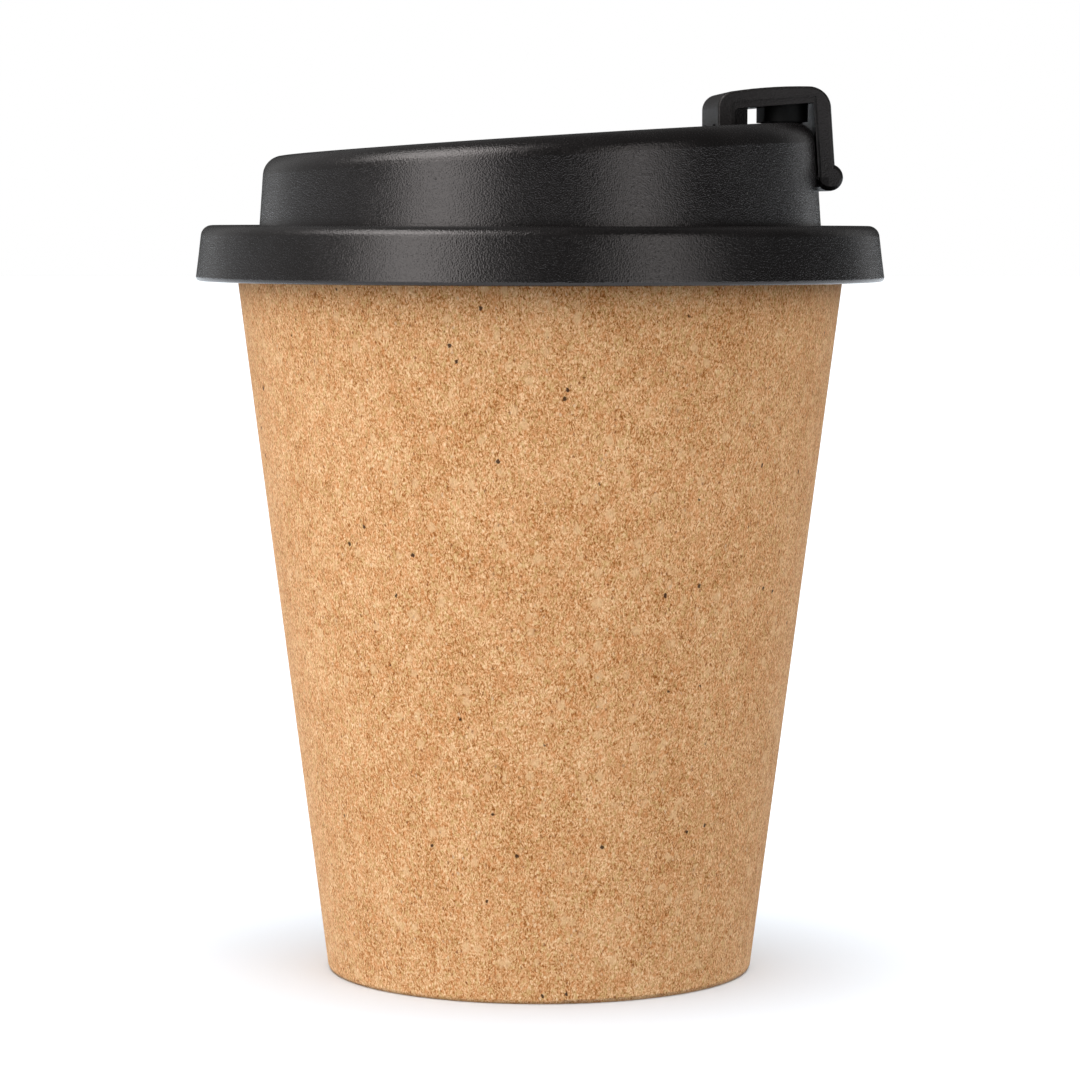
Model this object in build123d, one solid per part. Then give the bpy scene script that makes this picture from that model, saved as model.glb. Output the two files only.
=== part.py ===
from build123d import *
import math
import os

# A 250 ml travel cup: a cork jacket round a plastic inner cup, and a push-on plastic lid whose
# flip clip carries a soft stopper for the drinking hole.
# Millimetres. Z is the cup's axis, the cup stands on Z = 0, and +X points at the clip.

# Cork jacket
CORK_BASE_R = 28.05
CORK_FLARE = 0.1281  # radius gained for each millimetre of height
CORK_TOP_Z = 93.4
CORK_WALL = 3.0
CORK_FOOT_ROUND = 0.7
BASE_DISC_Z = 0.8
BASE_DISC_THICK = 3.0
GLUE_GAP = 0.05

# Inner cup
CUP_WALL = 1.4
CUP_FLOOR = 1.8
CUP_RIM_Z = 96.4
CUP_RIM_R = 40.2

# Lid brim, with the skirts under it
BRIM_R = 45.25
BRIM_TOP_R = 44.35
BRIM_BOTTOM_Z = 91.05
BRIM_TOP_Z = 98.3
LID_WALL = 1.6
BRIM_PLATE = 1.8
GRIP_SKIRT_R = 40.45  # just outside the inner cup's rim
GRIP_SKIRT_WALL = 1.1
GRIP_SKIRT_Z = 93.8
WEB_COUNT = 12
WEB_THICK = 0.9
PLUG_GAP = 0.45  # between the plug skirt and the inner cup
PLUG_WALL = 1.5
PLUG_BOTTOM_Z = 87.0

# Seal ring in the plug skirt
SEAL_Z = 90.7
SEAL_HEIGHT = 2.2
SEAL_DEPTH = 0.75
SEAL_GAP = 0.05

# Dome: drafted wall and a top that rises towards the clip
DOME_BASE_R = 36.85
DOME_DRAFT = 0.07  # radius lost for each millimetre of height
TOP_AXIS_Z = 109.565  # height of the sloping top on the cup's axis
TOP_SLOPE = 0.065
DOME_ROUND = 2.7

# Recess in the dome, which takes the clip when it is folded back
RECESS_X = -1.4
RECESS_R = 29.6
RECESS_FLOOR_R = 28.9
RECESS_FLOOR_Z = 101.5
RECESS_WALL = 1.4
VENT_X = -24.0
VENT_R = 0.8

# Hinge
HINGE_X = 23.95
HINGE_Z = 109.5
KNUCKLE_R = 1.7
PIN_R = 0.8
PIN_LENGTH = 16.2
PIN_GAP = 0.05
LUG_IN_Y = 3.4
LUG_OUT_Y = 5.8
LUG_GAP = 0.2

# Flip clip: a strap bent into a U over the dome's rim
CLIP_WIDTH = 17.0
STRAP_THICK = 2.2
CLIP_BACK_X = 22.4
CLIP_TOP_LEFT_Z = 115.4
CLIP_TOP_MID = (31.5, 116.37)
CLIP_TOP_RIGHT_Z = 115.7
CLIP_UNDER_Z = 113.5  # underside of the bar at its back end
CLIP_UNDER_SLOPE = 0.078
LEG_OUT_R = 38.6  # outer radius of the front leg at LEG_REF_Z
LEG_IN_R = 36.5
LEG_REF_Z = 106.2
LEG_DRAFT = 0.07
LEG_END_Z = 104.6
BEAD_R = 1.75
BEAD_CENTRE_R = 37.95
EDGE_ROUND = 0.35
BEAD_BEVEL = 0.6
STEP_DEPTH = 0.3
STEP_SIDE = 0.4  # width of the step beside the opening, along the legs
STEP_UP = 0.85  # the same along the bar
WEB_X = 27.0
WEB_WIDTH = 6.2

# Latch: a rib on the dome wall and a lip inside the front leg
LATCH_Z = 104.6
LATCH_HEIGHT = 0.9
LATCH_PROUD = 0.1
LATCH_HALF_ANGLE = 10.0

# Stopper and drinking hole, both long ovals across the strap
STOPPER_X = 32.0
STOPPER_WIDTH = 5.8
STOPPER_LENGTH = 12.8
HOLE_WIDTH = 4.5
HOLE_LENGTH = 11.9
STOPPER_TIP_Z = 108.6
POST_WIDTH = 3.0
POST_LENGTH = 10.4
POST_END_Z = 110.6
SEAT_GAP = 0.05

BIG = 140.0


def cork_radius(height):
    """Outer radius of the cork jacket."""
    return CORK_BASE_R + CORK_FLARE * height


def bore_radius(height):
    """Inner radius of the cork jacket."""
    return cork_radius(height) - CORK_WALL


def drink_radius(height):
    """Inner radius of the inner cup."""
    return bore_radius(height) - GLUE_GAP - CUP_WALL


def dome_radius(height):
    """Outer radius of the dome wall."""
    return DOME_BASE_R - DOME_DRAFT * (height - BRIM_TOP_Z)


def top_height(x):
    """Height of the dome's sloping top."""
    return TOP_AXIS_Z + TOP_SLOPE * x


def section(points, rounds=()):
    """Closed outline in the XZ plane, with (corner, radius) pairs rounded."""
    outline = make_face(Polyline(*points, close=True).edges())
    for corner, radius in rounds:
        nearest = outline.vertices().sort_by_distance((corner[0], corner[1], 0))[0]
        outline = fillet(nearest, radius)
    return Plane.XZ * outline


def turned(points, rounds=()):
    """Solid of revolution about the cup's axis from (radius, height) points."""
    return revolve(section(points, rounds), Axis.Z, 360)


def turned_part(points, half_angle):
    """The same, only within half_angle degrees either side of +X."""
    start = Rot(0, 0, -half_angle) * section(points)
    return revolve(start, Axis.Z, 2 * half_angle)


def across(points, width):
    """An XZ outline given its width along Y, centred on the strap."""
    return extrude(section(points), width / 2, both=True)


def cone(low_radius, high_radius, low_z, high_z, x=0.0):
    """Upright cone frustum between two heights."""
    body = Cone(low_radius, high_radius, high_z - low_z, align=(Align.CENTER, Align.CENTER, Align.MIN))
    return Pos(x, 0, low_z) * body


def rod_y(radius, length, x, z):
    """Round rod along Y."""
    return Pos(x, 0, z) * Rot(90, 0, 0) * Cylinder(radius, length)


def oval(width, length, low_z, high_z, draft=0.0):
    """Upright bar of long oval section on the stopper's axis, narrower at its foot by draft a side."""
    height = high_z - low_z
    angle = math.degrees(math.atan2(draft, height))
    outline = SlotOverall(length, width, rotation=90)
    body = extrude(outline, height, dir=(0, 0, -1), taper=angle)
    return Pos(STOPPER_X, 0, high_z) * body


def cork_jacket():
    points = [
        (CORK_BASE_R, 0),
        (cork_radius(CORK_TOP_Z), CORK_TOP_Z),
        (bore_radius(CORK_TOP_Z), CORK_TOP_Z),
        (bore_radius(0), 0),
    ]
    return turned(points, [(points[0], CORK_FOOT_ROUND), (points[1], 0.4), (points[3], 0.3)])


def cork_base_disc():
    top = BASE_DISC_Z + BASE_DISC_THICK
    points = [
        (0, BASE_DISC_Z),
        (bore_radius(BASE_DISC_Z) - GLUE_GAP, BASE_DISC_Z),
        (bore_radius(top) - GLUE_GAP, top),
        (0, top),
    ]
    return turned(points, [(points[1], 0.3)])


def inner_cup():
    foot = BASE_DISC_Z + BASE_DISC_THICK + GLUE_GAP
    floor = foot + CUP_FLOOR
    shelf = CORK_TOP_Z + GLUE_GAP
    outside = [
        (0, foot),
        (bore_radius(foot) - GLUE_GAP, foot),
        (bore_radius(shelf) - GLUE_GAP, shelf),
        (CUP_RIM_R, shelf),
        (CUP_RIM_R, CUP_RIM_Z),
    ]
    inside = [
        (drink_radius(CUP_RIM_Z), CUP_RIM_Z),
        (drink_radius(floor), floor),
        (0, floor),
    ]
    rounds = [
        (outside[1], 0.8),
        (outside[3], 0.5),
        (outside[4], 1.3),
        (inside[0], 0.9),
        (inside[1], 2.5),
    ]
    return turned(outside + inside, rounds)


def brim():
    """The flared ring, its plate and the skirts that grip and seal the inner cup."""
    under = BRIM_TOP_Z - BRIM_PLATE
    ring_points = [
        (drink_radius(under) - PLUG_GAP - PLUG_WALL, under),
        (BRIM_TOP_R - LID_WALL, under),
        (BRIM_R - LID_WALL, BRIM_BOTTOM_Z),
        (BRIM_R, BRIM_BOTTOM_Z),
        (BRIM_TOP_R, BRIM_TOP_Z),
        (drink_radius(under) - PLUG_GAP - PLUG_WALL, BRIM_TOP_Z),
    ]
    ring_rounds = [(ring_points[1], 0.8), (ring_points[2], 0.4), (ring_points[3], 0.5), (ring_points[4], 1.5)]
    ring = turned(ring_points, ring_rounds)

    plug_points = [
        (drink_radius(under) - PLUG_GAP - PLUG_WALL, under + 0.5),
        (drink_radius(PLUG_BOTTOM_Z) - PLUG_GAP - PLUG_WALL, PLUG_BOTTOM_Z),
        (drink_radius(PLUG_BOTTOM_Z) - PLUG_GAP, PLUG_BOTTOM_Z),
        (drink_radius(under) - PLUG_GAP, under + 0.5),
    ]
    plug = turned(plug_points, [(plug_points[1], 0.5), (plug_points[2], 0.5)])
    groove_r = drink_radius(SEAL_Z) - PLUG_GAP - SEAL_DEPTH
    half = SEAL_HEIGHT / 2 + SEAL_GAP
    groove = turned(
        [(groove_r, SEAL_Z - half), (CUP_RIM_R, SEAL_Z - half), (CUP_RIM_R, SEAL_Z + half), (groove_r, SEAL_Z + half)]
    )

    grip_out = GRIP_SKIRT_R + GRIP_SKIRT_WALL
    grip_points = [
        (GRIP_SKIRT_R, GRIP_SKIRT_Z),
        (grip_out, GRIP_SKIRT_Z),
        (grip_out, under + 0.5),
        (GRIP_SKIRT_R, under + 0.5),
    ]
    grip = turned(grip_points, [(grip_points[0], 0.4), (grip_points[1], 0.3)])

    web = Pos(grip_out + 0.4, 0, (GRIP_SKIRT_Z + under) / 2 + 0.5)
    web *= Box(2.0, WEB_THICK, under - GRIP_SKIRT_Z)
    body = ring + (plug - groove) + grip
    for index in range(WEB_COUNT):
        body += Rot(0, 0, (index + 0.5) * 360 / WEB_COUNT) * web
    return body


def dome_block(inset, rim_round, low_z):
    """Solid dome set in by inset: drafted wall, sloping top and rounded rim."""
    high_z = TOP_AXIS_Z + 10
    body = cone(dome_radius(low_z) - inset, dome_radius(high_z) - inset, low_z, high_z)
    top = Plane(origin=(0, 0, TOP_AXIS_Z - inset), x_dir=(1, 0, TOP_SLOPE), z_dir=(-TOP_SLOPE, 0, 1))
    body -= top * Box(BIG, BIG, BIG, align=(Align.CENTER, Align.CENTER, Align.MIN))
    rim = body.faces().sort_by(Axis.Z)[-1].edges()
    return fillet(rim, rim_round)


def lug(side):
    """One hinge lug, growing out of the recess wall behind the drinking hole."""
    points = [
        (HINGE_X, HINGE_Z - KNUCKLE_R),
        (HINGE_X, HINGE_Z + KNUCKLE_R),
        (HINGE_X + 5.2, HINGE_Z + 1.2),
        (HINGE_X + 5.2, HINGE_Z - 5.5),
        (HINGE_X + 4.6, HINGE_Z - 5.5),
        (HINGE_X + 1.4, HINGE_Z - KNUCKLE_R),
    ]
    thick = LUG_OUT_Y - LUG_IN_Y
    plate = across(points, thick) + rod_y(KNUCKLE_R, thick, HINGE_X, HINGE_Z)
    return Pos(0, side * (LUG_IN_Y + LUG_OUT_Y) / 2, 0) * plate


def lid_body():
    outer = dome_block(0, DOME_ROUND, BRIM_TOP_Z - 0.6)
    inner = dome_block(LID_WALL, DOME_ROUND - LID_WALL, BRIM_TOP_Z - 1.2)
    bowl_z = RECESS_FLOOR_Z - RECESS_WALL
    bowl = cone(RECESS_FLOOR_R + RECESS_WALL, RECESS_R + RECESS_WALL, bowl_z, TOP_AXIS_Z + 6, RECESS_X)
    hollow = cone(RECESS_FLOOR_R, RECESS_R, RECESS_FLOOR_Z, TOP_AXIS_Z + 6, RECESS_X)
    floor_edge = hollow.edges().sort_by(Axis.Z)[0]
    hollow = fillet(floor_edge, 1.5)
    bowl_edge = bowl.edges().sort_by(Axis.Z)[0]
    bowl = fillet(bowl_edge, 2.5)

    body = (outer - inner) + (bowl & outer)
    body -= hollow
    lip = [edge for edge in body.edges() if is_recess_lip(edge)]
    body = fillet(lip, 0.9)

    lugs = lug(-1) + lug(1)
    body += lugs & (outer - inner + bowl)
    body += brim()

    hole_foot = top_height(STOPPER_X) - 4.0
    body -= oval(HOLE_WIDTH, HOLE_LENGTH, hole_foot, hole_foot + 8.0)
    body -= rod_y(PIN_R, 2 * LUG_OUT_Y + 1, HINGE_X, HINGE_Z)
    body -= Pos(VENT_X, 0, RECESS_FLOOR_Z) * Cylinder(VENT_R, 4 * RECESS_WALL)
    rib_low = LATCH_Z - LATCH_HEIGHT / 2
    rib_high = LATCH_Z + LATCH_HEIGHT / 2
    rib = turned_part(
        [
            (dome_radius(LATCH_Z) - 0.6, rib_low - 0.2),
            (dome_radius(rib_low) + LATCH_PROUD, rib_low),
            (dome_radius(rib_high) + LATCH_PROUD, rib_high),
            (dome_radius(LATCH_Z) - 0.6, rib_high + 0.2),
        ],
        LATCH_HALF_ANGLE,
    )
    return body + rib


def is_recess_lip(edge):
    """True for the edge where the recess meets the sloping top."""
    box = edge.bounding_box()
    middle = box.center()
    on_top = abs(middle.Z - top_height(middle.X)) < 0.3
    return on_top and abs(box.size.Y - 2 * RECESS_R) < 1.2 and box.size.X > RECESS_R


def lid_seal_ring():
    outer = drink_radius(SEAL_Z) - PLUG_GAP
    inner = outer - SEAL_DEPTH + SEAL_GAP
    low = SEAL_Z - SEAL_HEIGHT / 2
    high = SEAL_Z + SEAL_HEIGHT / 2
    lip = drink_radius(SEAL_Z) - SEAL_GAP
    points = [
        (inner, low),
        (outer - 0.1, low),
        (lip, SEAL_Z - 0.1),
        (lip, SEAL_Z + 0.3),
        (outer, high),
        (inner, high),
    ]
    return turned(points, [(points[1], 0.2), (points[4], 0.2)])


def clip_outline():
    """Outer outline of the strap: back, gently arched top, and a front past the leg."""
    front = LEG_OUT_R + 4
    foot = LEG_END_Z - 3
    back_top = (CLIP_BACK_X, CLIP_TOP_LEFT_Z)
    front_top = (front, CLIP_TOP_RIGHT_Z)
    arch = ThreePointArc(back_top, CLIP_TOP_MID, front_top)
    sides = Polyline(front_top, (front, foot), (CLIP_BACK_X, foot), back_top)
    return Plane.XZ * make_face(arch.edges() + sides.edges())


def leg_cone(radius, low_z=96.0, high_z=122.0):
    """Upright cone that bounds the front leg; radius is measured at LEG_REF_Z."""
    low = radius - LEG_DRAFT * (low_z - LEG_REF_Z)
    high = radius - LEG_DRAFT * (high_z - LEG_REF_Z)
    return cone(low, high, low_z, high_z)


def clip_block():
    """Outside of the strap as a solid block, its bends and its long edges rounded."""
    block = extrude(clip_outline(), CLIP_WIDTH / 2, both=True) & leg_cone(LEG_OUT_R)
    front = [e for e in block.edges() if is_bend(e) and e.center().X > STOPPER_X]
    block = fillet(front, 2.8)
    back = [e for e in block.edges() if is_bend(e) and e.center().X < CLIP_BACK_X + 1]
    block = fillet(back, 2.1)
    for side in (-1, 1):
        face = block.faces().sort_by(Axis.Y)[0 if side < 0 else -1]
        edges = [e for e in face.edges() if e.center().Z > LEG_END_Z - 2]
        block = fillet(edges, EDGE_ROUND)
    return block


def clip_hollow(grow_side=0.0, grow_up=0.0):
    """Space inside the strap, or one that reaches further into its legs and its bar."""
    back = CLIP_BACK_X + STRAP_THICK - grow_side
    front = LEG_OUT_R + 4
    foot = LEG_END_Z - 6
    under = CLIP_UNDER_Z + grow_up
    points = [
        (back, foot),
        (back, under),
        (front, under + CLIP_UNDER_SLOPE * (front - back)),
        (front, foot),
    ]
    space = across(points, CLIP_WIDTH + 10) & leg_cone(LEG_IN_R + grow_side)
    corner = [e for e in space.edges() if e.bounding_box().size.Y > CLIP_WIDTH and e.center().Z > CLIP_UNDER_Z - 1]
    return fillet(corner, 0.7)


def bead():
    """Rounded thumb bead along the foot of the front leg, its ends chamfered."""
    half_angle = math.degrees(math.asin(CLIP_WIDTH / 2 / BEAD_CENTRE_R))
    circle = Plane.XZ * Pos(BEAD_CENTRE_R, LEG_END_Z) * Circle(BEAD_R)
    body = revolve(Rot(0, 0, -half_angle) * circle, Axis.Z, 2 * half_angle)
    body = chamfer(body.edges().filter_by(GeomType.CIRCLE).filter_by(is_bead_end), BEAD_BEVEL)
    return body & Box(BIG, CLIP_WIDTH, BIG * 2)


def is_bead_end(edge):
    """True for the round edge of either end of the bead."""
    return abs(edge.radius - BEAD_R) < 0.01


def knuckles():
    """Hinge barrels at the foot of the back leg: one between the lugs and one outside each."""
    middle = 2 * (LUG_IN_Y - LUG_GAP)
    outside = CLIP_WIDTH / 2 - EDGE_ROUND - LUG_OUT_Y - LUG_GAP
    barrels = rod_y(KNUCKLE_R, middle, HINGE_X, HINGE_Z)
    for side in (-1, 1):
        barrel = rod_y(KNUCKLE_R, outside, HINGE_X, HINGE_Z)
        barrels += Pos(0, side * (LUG_OUT_Y + LUG_GAP + outside / 2), 0) * barrel
    return barrels


def lug_slots():
    """Room for the two lugs in the back leg."""
    width = LUG_OUT_Y - LUG_IN_Y + 2 * LUG_GAP
    height = 2 * (KNUCKLE_R + 0.35)
    slot = Box(3 * STRAP_THICK, width, height) + Pos(0, 0, -height / 2) * Box(3 * STRAP_THICK, width, height)
    middle = (LUG_IN_Y + LUG_OUT_Y) / 2
    return Pos(HINGE_X, middle, HINGE_Z) * slot + Pos(HINGE_X, -middle, HINGE_Z) * slot


def post(gap=0.0):
    """Oval post under the strap, which carries the stopper."""
    under = CLIP_UNDER_Z + CLIP_UNDER_SLOPE * (STOPPER_X - CLIP_BACK_X - STRAP_THICK)
    return oval(POST_WIDTH + 2 * gap, POST_LENGTH + 2 * gap, POST_END_Z - gap, under + 0.5, 0.15)


def closure_clip():
    block = clip_block()
    hollow = clip_hollow()
    strap = block - hollow
    beside = Box(BIG, CLIP_WIDTH - 2 * STEP_DEPTH, BIG * 2)
    strap -= clip_hollow(STEP_SIDE, STEP_UP) - beside
    below_hinge = Pos(HINGE_X, 0, HINGE_Z) * Box(8, BIG, BIG, align=(Align.CENTER, Align.CENTER, Align.MAX))
    below_bead = Pos(BEAD_CENTRE_R, 0, LEG_END_Z) * Box(20, BIG, BIG, align=(Align.CENTER, Align.CENTER, Align.MAX))
    strap -= below_hinge
    strap -= below_bead
    strap += bead() - leg_cone(LEG_IN_R)

    stiffener = Box(WEB_X - HINGE_X, WEB_WIDTH, CLIP_UNDER_Z + 1 - HINGE_Z, align=(Align.MIN, Align.CENTER, Align.MIN))
    strap += Pos(HINGE_X, 0, HINGE_Z) * stiffener & block
    strap -= lug_slots()
    strap += knuckles()
    strap -= rod_y(PIN_R + PIN_GAP, CLIP_WIDTH + 2, HINGE_X, HINGE_Z)
    return strap + post()


def is_bend(edge):
    """True for an edge that runs across the strap where it bends."""
    box = edge.bounding_box()
    return box.size.Y > CLIP_WIDTH - 0.5 and box.min.Z > CLIP_UNDER_Z


def stopper():
    """Soft stopper: an oval shank under the strap and a tapered tip in the drinking hole."""
    under = CLIP_UNDER_Z + CLIP_UNDER_SLOPE * (STOPPER_X - CLIP_BACK_X - STRAP_THICK)
    seat = top_height(STOPPER_X + STOPPER_WIDTH / 2) + SEAT_GAP
    shank = oval(STOPPER_WIDTH, STOPPER_LENGTH, seat, under + 1.0) - clip_fill()
    tip = oval(HOLE_WIDTH - 2 * SEAT_GAP, HOLE_LENGTH - 2 * SEAT_GAP, STOPPER_TIP_Z, seat, 0.55)
    return shank + tip - post(GLUE_GAP)


def clip_fill():
    """The strap's bar as a wedge, to trim what meets its underside."""
    back = CLIP_BACK_X
    front = LEG_OUT_R + 4
    low = CLIP_UNDER_Z - CLIP_UNDER_SLOPE * STRAP_THICK - 0.02
    return across([(back, low), (front, low + CLIP_UNDER_SLOPE * (front - back)), (front, 130), (back, 130)], 40)


def hinge_pin():
    pin = rod_y(PIN_R, PIN_LENGTH, HINGE_X, HINGE_Z)
    return chamfer(pin.edges().filter_by(GeomType.CIRCLE), 0.2)


PARTS = {
    "cork_jacket": cork_jacket,
    "cork_base_disc": cork_base_disc,
    "inner_cup": inner_cup,
    "lid_body": lid_body,
    "lid_seal_ring": lid_seal_ring,
    "closure_clip": closure_clip,
    "stopper": stopper,
    "hinge_pin": hinge_pin,
}

os.makedirs("parts", exist_ok=True)
for name, make in PARTS.items():
    part = make()
    part.label = name
    export_step(part, f"parts/{name}.step")
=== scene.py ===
import math

import bpy
from mathutils import Matrix, Vector

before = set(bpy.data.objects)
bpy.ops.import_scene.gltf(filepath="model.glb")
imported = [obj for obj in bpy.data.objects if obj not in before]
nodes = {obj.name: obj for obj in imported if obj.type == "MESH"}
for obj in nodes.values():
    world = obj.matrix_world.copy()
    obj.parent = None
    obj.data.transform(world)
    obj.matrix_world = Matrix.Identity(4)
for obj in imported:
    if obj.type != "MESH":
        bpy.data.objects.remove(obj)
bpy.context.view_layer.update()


# ---------------------------------------------------------------- shader helpers
# The Mix node's colour sockets share their names with its other ones, so they go by number
MIX_COLOR_A, MIX_COLOR_B, MIX_COLOR_RESULT = 6, 7, 2


class Shader:
    """A Principled material under construction: nodes are added by short calls and linked by name."""

    def __init__(self, name):
        self.material = bpy.data.materials.new(name)
        self.material.use_nodes = True
        self.tree = self.material.node_tree
        self.principled = self.tree.nodes["Principled BSDF"]

    def set(self, **values):
        """Plain values on the Principled sockets, with _ for a space in a socket's name."""
        for key, value in values.items():
            self.principled.inputs[key.replace("_", " ")].default_value = value

    def node(self, kind, inputs=None, **settings):
        made = self.tree.nodes.new("ShaderNode" + kind)
        for key, value in settings.items():
            setattr(made, key, value)
        for key, value in (inputs or {}).items():
            if isinstance(value, bpy.types.NodeSocket):
                self.tree.links.new(value, made.inputs[key])
            else:
                made.inputs[key].default_value = value
        return made

    def link(self, socket, name):
        self.tree.links.new(socket, self.principled.inputs[name])

    def place(self):
        """Position on the piece in millimetres."""
        coordinates = self.node("TexCoord").outputs["Object"]
        return self.node("VectorMath", {0: coordinates, "Scale": 1000.0}, operation="SCALE").outputs["Vector"]

    def stretch(self, vector, x, y, z):
        return self.node("VectorMath", {0: vector, 1: (x, y, z)}, operation="MULTIPLY").outputs["Vector"]

    def warp(self, vector, scale, amount):
        """The position, shifted by noise."""
        noise = self.node("TexNoise", {"Vector": vector, "Scale": scale, "Detail": 2.0}).outputs["Color"]
        centred = self.node("VectorMath", {0: noise, 1: (0.5, 0.5, 0.5)}, operation="SUBTRACT")
        shifts = {0: centred.outputs["Vector"], "Scale": amount}
        shift = self.node("VectorMath", shifts, operation="SCALE").outputs["Vector"]
        return self.node("VectorMath", {0: vector, 1: shift}, operation="ADD").outputs["Vector"]

    def noise(self, vector, scale, detail=2.0, roughness=0.5):
        inputs = {"Vector": vector, "Scale": scale, "Detail": detail, "Roughness": roughness}
        return self.node("TexNoise", inputs).outputs["Fac"]

    def cells(self, vector, scale, feature="F1"):
        return self.node("TexVoronoi", {"Vector": vector, "Scale": scale}, feature=feature)

    def ramp(self, socket, stops):
        made = self.node("ValToRGB", {"Fac": socket})
        elements = made.color_ramp.elements
        while len(elements) < len(stops):
            elements.new(0.5)
        for element, (position, color) in zip(elements, stops):
            element.position = position
            element.color = color if len(color) == 4 else (*color, 1.0)
        return made.outputs["Color"]

    def span(self, socket, low, high, to_low=0.0, to_high=1.0):
        """The value's position between low and high, clamped, from to_low to to_high."""
        inputs = {"Value": socket, "From Min": low, "From Max": high, "To Min": to_low, "To Max": to_high}
        return self.node("MapRange", inputs).outputs["Result"]

    def times(self, first, second):
        return self.node("Math", {0: first, 1: second}, operation="MULTIPLY").outputs["Value"]

    def plus(self, first, second):
        return self.node("Math", {0: first, 1: second}, operation="ADD").outputs["Value"]

    def mix(self, factor, first, second):
        inputs = {"Factor": factor, MIX_COLOR_A: first, MIX_COLOR_B: second}
        return self.node("Mix", inputs, data_type="RGBA").outputs[MIX_COLOR_RESULT]

    def bump(self, height, strength, distance):
        inputs = {"Height": height, "Strength": strength, "Distance": distance}
        return self.node("Bump", inputs).outputs["Normal"]


# ---------------------------------------------------------------- materials
def cork_material():
    """Sanded agglomerated cork: fine upright strokes, reddish and pale granules, dark flecks, and pits
    darkened with painted shade.
    """
    s = Shader("cork")
    place = s.place()
    bent = s.warp(place, 0.9, 0.9)

    # Strokes about a quarter of a millimetre wide and twice as tall
    grain = s.noise(s.stretch(bent, 1.0, 1.0, 0.46), 5.7, 1.5, 0.60)
    strokes = s.noise(s.stretch(s.warp(place, 1.4, 1.1), 1.0, 1.0, 0.42), 2.6, 1.0)
    drift = s.noise(place, 0.10, 2.0)

    # Granules of 1 to 2 mm, each with its own tone
    granules = s.cells(s.stretch(s.warp(place, 1.5, 1.2), 1.0, 1.0, 0.62), 0.75)
    tone = s.node("SeparateColor", {"Color": granules.outputs["Color"]})

    value = s.plus(s.times(grain, 1.04), s.times(strokes, 0.16))
    value = s.plus(value, s.times(tone.outputs["Red"], 0.075))
    value = s.plus(value, s.times(drift, 0.10))
    color = s.ramp(
        s.span(value, 0.485, 0.885),
        [
            (0.0, (0.225, 0.070, 0.012)),
            (0.25, (0.403, 0.179, 0.058)),
            (0.5, (0.560, 0.301, 0.134)),
            (0.75, (0.688, 0.411, 0.214)),
            (1.0, (0.818, 0.568, 0.340)),
        ],
    )

    # Reddish granules, and reddish and olive streaks at the scale of the strokes
    hue = s.noise(s.stretch(s.warp(place, 1.1, 0.8), 1.0, 1.0, 0.6), 1.9, 2.0, 0.65)
    color = s.mix(s.span(hue, 0.53, 0.66, 0.0, 0.50), color, (0.595, 0.244, 0.085, 1.0))
    color = s.mix(s.span(hue, 0.47, 0.35, 0.0, 0.50), color, (0.542, 0.361, 0.140, 1.0))
    color = s.mix(s.span(tone.outputs["Green"], 0.70, 0.95, 0.0, 0.20), color, (0.578, 0.262, 0.109, 1.0))

    # Pale, smoother granules
    flakes = s.cells(s.stretch(s.warp(place, 1.3, 0.9), 1.0, 1.0, 0.75), 0.72)
    flake_tone = s.node("SeparateColor", {"Color": flakes.outputs["Color"]})
    flake_shape = s.span(flakes.outputs["Distance"], 0.46, 0.26)
    flake = s.times(s.span(flake_tone.outputs["Blue"], 0.80, 0.88), flake_shape)
    color = s.mix(s.times(flake, 0.60), color, (0.677, 0.438, 0.239, 1.0))

    # Dark brown flecks of bark beside the strokes, and pale glints
    flecks = s.cells(s.stretch(s.warp(place, 2.6, 0.5), 1.0, 1.0, 0.6), 1.75)
    fleck_tone = s.node("SeparateColor", {"Color": flecks.outputs["Color"]})
    fleck_shape = s.span(flecks.outputs["Distance"], 0.32, 0.10)
    fleck = s.times(s.span(fleck_tone.outputs["Red"], 0.80, 0.88), fleck_shape)
    color = s.mix(s.times(fleck, 0.80), color, (0.154, 0.037, 0.005, 1.0))
    glint_shape = s.span(flecks.outputs["Distance"], 0.34, 0.12)
    glint = s.times(s.span(fleck_tone.outputs["Green"], 0.84, 0.90), glint_shape)
    color = s.mix(s.times(glint, 0.62), color, (0.831, 0.614, 0.398, 1.0))

    # Small open pits: the bump cuts their hollows, and the shade inside them is painted near-black into the
    # colour
    pits = s.cells(s.stretch(s.warp(place, 2.0, 0.6), 1.0, 1.0, 0.8), 0.50)
    pit_tone = s.node("SeparateColor", {"Color": pits.outputs["Color"]})
    pit_shape = s.span(pits.outputs["Distance"], 0.14, 0.09)
    pit = s.times(s.span(pit_tone.outputs["Green"], 0.89, 0.90), pit_shape)
    color = s.mix(s.times(pit, 0.93), color, (0.032, 0.012, 0.005, 1.0))
    s.link(color, "Base Color")

    s.link(s.span(grain, 0.3, 0.7, 0.84, 0.66), "Roughness")
    s.set(IOR=1.42, Specular_IOR_Level=0.16)
    s.set(Sheen_Weight=0.08, Sheen_Roughness=0.5, Sheen_Tint=(1.0, 0.86, 0.72, 1.0))

    relief = s.plus(s.times(grain, 0.9), s.times(fleck, -0.4))
    relief = s.plus(relief, s.times(pit, -1.6))
    s.link(s.bump(relief, 0.6, 0.00010), "Normal")
    return s.material


WARM_HIGHLIGHT = (1.0, 0.93, 0.91, 1.0)


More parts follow.
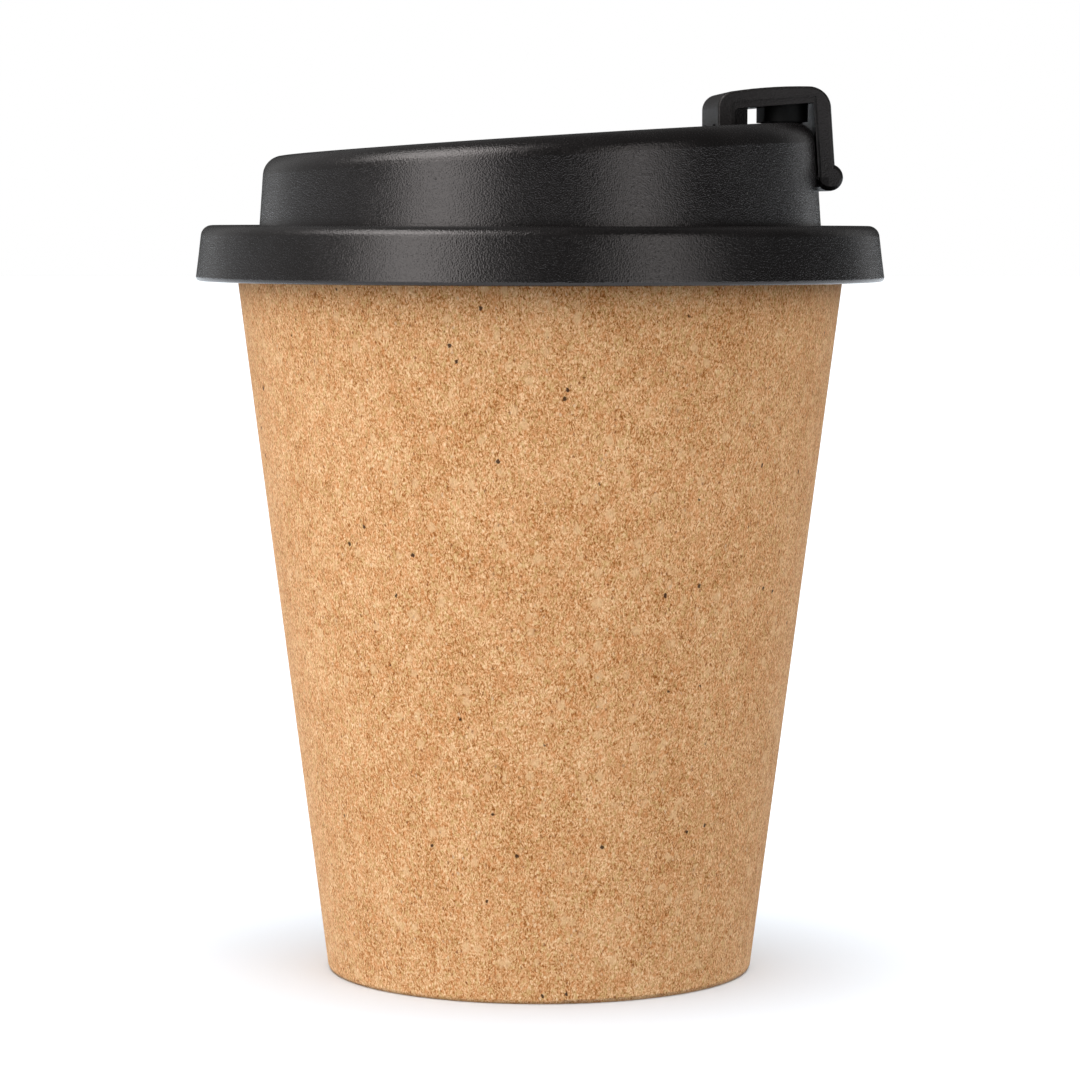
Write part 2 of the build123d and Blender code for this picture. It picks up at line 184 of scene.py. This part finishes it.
def moulded_plastic(name, color, roughness, specular=0.5):
    """Satin moulded plastic: spark-eroded grain, flow clouding, hairline scuffs and specks of dust."""
    s = Shader(name)
    place = s.place()
    cloud = s.noise(place, 0.12, 3.0)
    speckle = s.noise(place, 5.5, 2.0, 0.7)
    lighter = tuple(c * 1.8 + 0.001 for c in color)
    tone = s.span(s.plus(s.times(cloud, 0.5), s.times(speckle, 0.5)), 0.38, 0.62)
    shade = s.mix(tone, (*color, 1.0), (*lighter, 1.0))

    dust = s.cells(s.warp(place, 2.0, 0.5), 0.55)
    dust_tone = s.node("SeparateColor", {"Color": dust.outputs["Color"]})
    dusty = s.span(s.noise(place, 0.06, 1.0), 0.5, 0.62)
    settled = s.times(s.span(dust_tone.outputs["Red"], 0.955, 0.975), dusty)
    fleck = s.times(settled, s.span(dust.outputs["Distance"], 0.075, 0.04))
    s.link(s.mix(s.times(fleck, 0.5), shade, (0.42, 0.41, 0.39, 1.0)), "Base Color")

    scuffs = s.noise(s.stretch(s.warp(place, 0.15, 6.0), 1.0, 1.0, 0.12), 2.4, 1.0)
    scuff = s.times(s.span(scuffs, 0.70, 0.74), s.span(cloud, 0.5, 0.7))
    rough = s.plus(s.span(speckle, 0.3, 0.7, roughness - 0.06, roughness + 0.06), s.times(cloud, 0.06))
    s.link(s.plus(rough, s.times(scuff, 0.12)), "Roughness")
    s.set(IOR=1.49, Specular_IOR_Level=specular, Specular_Tint=WARM_HIGHLIGHT)
    height = s.plus(s.noise(place, 5.7, 0.0), s.times(s.noise(place, 2.2, 1.0), 0.15))
    s.link(s.bump(height, 1.0, 0.000038), "Normal")
    return s.material


def soft_rubber(name, color):
    """Matt rubber with a fine bloom."""
    s = Shader(name)
    place = s.place()
    bloom = s.noise(place, 5.0, 3.0)
    lighter = tuple(c * 2.0 + 0.001 for c in color)
    s.link(s.mix(s.span(bloom, 0.4, 0.7), (*color, 1.0), (*lighter, 1.0)), "Base Color")
    s.link(s.span(bloom, 0.3, 0.7, 0.55, 0.7), "Roughness")
    s.set(IOR=1.41, Specular_IOR_Level=0.2)
    s.link(s.bump(bloom, 0.15, 0.00003), "Normal")
    return s.material


def drawn_wire(name):
    """Stainless wire with fine marks from drawing along its length, Y."""
    s = Shader(name)
    place = s.stretch(s.place(), 8.0, 0.3, 8.0)
    lines = s.noise(place, 2.0, 3.0)
    s.link(s.mix(lines, (0.42, 0.42, 0.43, 1.0), (0.62, 0.62, 0.63, 1.0)), "Base Color")
    s.link(s.span(lines, 0.3, 0.7, 0.25, 0.4), "Roughness")
    s.set(Metallic=1.0)
    s.link(s.bump(lines, 0.1, 0.00002), "Normal")
    return s.material


LID_BLACK = (0.0024, 0.0021, 0.0021)
looks = {
    "cork_jacket": cork_material(),
    "inner_cup": moulded_plastic("cup_plastic", (0.012, 0.012, 0.0125), 0.35),
    "lid_body": moulded_plastic("lid_plastic", LID_BLACK, 0.205),
    "closure_clip": moulded_plastic("clip_plastic", LID_BLACK, 0.38, 0.32),
    "stopper": soft_rubber("stopper_rubber", (0.0015, 0.0015, 0.0015)),
    "lid_seal_ring": soft_rubber("seal_rubber", (0.008, 0.008, 0.008)),
    "hinge_pin": drawn_wire("pin_steel"),
}
looks["cork_base_disc"] = looks["cork_jacket"]
for name, material in looks.items():
    for slot in nodes[name].material_slots:
        slot.material = material


# ---------------------------------------------------------------- stage, lights, camera
CAMERA_TURN = math.radians(4.8)
CAMERA_PITCH = math.radians(4.582)
CAMERA_ROLL = math.radians(0.085)
CAMERA_DISTANCE = 0.53386
CAMERA_HEIGHT = 0.09956
CAMERA_SIDE = 0.00004
LIGHT_DISTANCE = 0.8
LIGHT_AIM = Vector((0, 0, 0.07))


def area_light(name, azimuth, elevation, width, height, brightness):
    """A softbox aimed at the cup; azimuth 0 is the camera's side, positive to the right; white is 1."""
    a, e = math.radians(azimuth) - CAMERA_TURN, math.radians(elevation)
    direction = Vector((math.sin(a) * math.cos(e), -math.cos(a) * math.cos(e), math.sin(e)))
    data = bpy.data.lights.new(name, "AREA")
    data.shape = "RECTANGLE"
    data.size, data.size_y = width, height
    data.energy = brightness * math.pi * width * height
    light = bpy.data.objects.new(name, data)
    light.location = LIGHT_AIM + direction * LIGHT_DISTANCE
    light.rotation_euler = direction.to_track_quat("Z", "Y").to_euler()
    bpy.context.scene.collection.objects.link(light)
    return light


def overhead_sun():
    """Broad light from almost straight up, for the floor: the glossy lid doesn't mirror it."""
    data = bpy.data.lights.new("overhead", "SUN")
    data.energy = 4.3
    data.angle = math.radians(62)
    light = bpy.data.objects.new("overhead", data)
    light.rotation_euler = (math.radians(1), math.radians(0.3), -CAMERA_TURN)
    light.visible_glossy = False
    bpy.context.scene.collection.objects.link(light)


def make_camera():
    data = bpy.data.cameras.new("camera")
    data.sensor_width = 36.0
    data.lens = 134.84
    camera = bpy.data.objects.new("camera", data)
    turn = Matrix.Rotation(-CAMERA_TURN, 4, "Z")
    tilt = Matrix.Rotation(math.pi / 2 - CAMERA_PITCH, 4, "X")
    roll = Matrix.Rotation(CAMERA_ROLL, 4, "Z")
    place = Matrix.Translation((CAMERA_SIDE, -CAMERA_DISTANCE, CAMERA_HEIGHT))
    camera.matrix_world = turn @ place @ tilt @ roll
    bpy.context.scene.collection.objects.link(camera)
    bpy.context.scene.camera = camera


def make_floor():
    mesh = bpy.data.meshes.new("floor")
    half = 6.0
    corners = [(-half, -half, 0), (half, -half, 0), (half, half, 0), (-half, half, 0)]
    mesh.from_pydata(corners, [], [(0, 1, 2, 3)])
    floor = bpy.data.objects.new("floor", mesh)
    bpy.context.scene.collection.objects.link(floor)
    s = Shader("floor_white")
    s.set(Base_Color=(0.85, 0.90, 0.955, 1.0), Roughness=0.9, Specular_IOR_Level=0.1)
    mesh.materials.append(s.material)
    floor.visible_diffuse = False
    return floor


def keep_off(light, *objects):
    """A flag between this light and these objects: it doesn't light them."""
    shaded = bpy.data.collections.new(light.name + "_flag")
    for index, shielded in enumerate(objects):
        shaded.objects.link(shielded)
        shaded.collection_objects[index].light_linking.link_state = "EXCLUDE"
    light.light_linking.receiver_collection = shaded


WORLD_LEFT = 0.40
WORLD_RIGHT = 0.11
WING_LEFT = 0.25
WING_RIGHT = 0.50
WORLD_BELOW = 0.24


def make_world():
    """White backdrop to the camera. As light, it is dim, with brighter wings and a glow from below."""
    world = bpy.data.worlds.new("studio")
    world.use_nodes = True
    tree = world.node_tree
    background = tree.nodes["Background"]

    def node(kind, inputs, **settings):
        made = tree.nodes.new("ShaderNode" + kind)
        for key, value in settings.items():
            setattr(made, key, value)
        for key, value in inputs.items():
            if isinstance(value, bpy.types.NodeSocket):
                tree.links.new(value, made.inputs[key])
            else:
                made.inputs[key].default_value = value
        return made

    def span(value, start, end, to_start, to_end):
        inputs = {"Value": value, "From Min": start, "From Max": end, "To Min": to_start, "To Max": to_end}
        return node("MapRange", inputs, interpolation_type="SMOOTHSTEP").outputs["Result"]

    def times(first, second):
        return node("Math", {0: first, 1: second}, operation="MULTIPLY").outputs["Value"]

    direction = tree.nodes.new("ShaderNodeTexCoord").outputs["Generated"]
    to_right = (math.cos(CAMERA_TURN), -math.sin(CAMERA_TURN), 0.0)
    to_back = (math.sin(CAMERA_TURN), math.cos(CAMERA_TURN), 0.0)
    across = node("VectorMath", {0: direction, 1: to_right}, operation="DOT_PRODUCT").outputs["Value"]
    along = node("VectorMath", {0: direction, 1: to_back}, operation="DOT_PRODUCT").outputs["Value"]
    height = node("SeparateXYZ", {"Vector": direction}).outputs["Z"]

    # The sides, brighter towards the back and away from its middle
    level = times(span(across, -0.9, 0.3, WORLD_LEFT, WORLD_RIGHT), span(along, 0.88, 0.97, 1.0, 0.3))
    off_centre = node("Math", {0: across}, operation="ABSOLUTE").outputs["Value"]
    wings = span(across, -0.3, 0.3, WING_LEFT, WING_RIGHT)
    wings = times(wings, span(off_centre, 0.34, 0.6, 0.0, 1.0))
    wings = times(wings, span(along, 0.6, 0.95, 0.0, 1.0))
    level = node("Math", {0: level, 1: wings}, operation="ADD").outputs["Value"]

    # Light bounced up by the floor, for the cork
    below = span(height, -0.02, -0.10, 0.0, WORLD_BELOW)
    level = node("Math", {0: level, 1: below}, operation="ADD").outputs["Value"]
    path = tree.nodes.new("ShaderNodeLightPath")
    seen = {"Value": path.outputs["Is Camera Ray"], "To Min": level, "To Max": 1.0}
    strength = node("MapRange", seen).outputs["Result"]
    tree.links.new(strength, background.inputs["Strength"])
    background.inputs["Color"].default_value = (1, 1, 1, 1)
    bpy.context.scene.world = world


make_camera()
floor = make_floor()
make_world()

# Softboxes that the lid mirrors
key = area_light("key", -41, 28, 0.46, 1.00, 3.5)
upper = area_light("high", -66, 50, 0.50, 0.50, 4.6)
area_light("fill", 39, 14, 0.32, 0.60, 1.95)

# Softboxes for the cork, kept off the lid
left = area_light("left", -68, 18, 0.60, 0.60, 2.6)
right = area_light("right", 62, 28, 0.70, 0.70, 2.6)
overhead_sun()
for light in (left, right):
    light.visible_glossy = False
    keep_off(light, floor, nodes["lid_body"], nodes["closure_clip"], nodes["stopper"])
keep_off(key, floor)
keep_off(upper, floor, nodes["cork_jacket"])
bpy.context.scene.view_settings.view_transform = "Standard"
